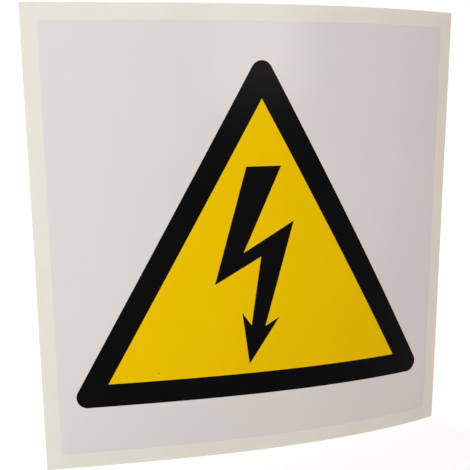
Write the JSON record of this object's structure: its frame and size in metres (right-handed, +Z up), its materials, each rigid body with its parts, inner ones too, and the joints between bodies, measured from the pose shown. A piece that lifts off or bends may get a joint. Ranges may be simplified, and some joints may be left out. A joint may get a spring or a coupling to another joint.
{
  "type": "high voltage warning sign",
  "caption": "Square self-adhesive hazard sign: white vinyl film printed with a black-edged yellow triangle and a black lightning arrow, on a slightly larger, curled release liner.",
  "frame": {"origin": "on the surface that the lower edge stands on, in the middle of the curled sheet's width and depth", "axes": "+Z up the sign, -Y out of the printed face, +X to the viewer's right"},
  "size_m": [0.2132, 0.011, 0.2146],
  "materials": {
    "liner_paper": "siliconised cream paper, faint sheen",
    "white_vinyl": "semi-gloss calendered film",
    "black_ink": "semi-gloss screen ink",
    "yellow_ink": "semi-gloss screen ink"
  },
  "bodies": {
    "root": {"release_liner": "liner_paper", "vinyl_film": "white_vinyl", "black_triangle": "black_ink", "yellow_field": "yellow_ink", "lightning_arrow": "black_ink"}
  },
  "joints": []
}
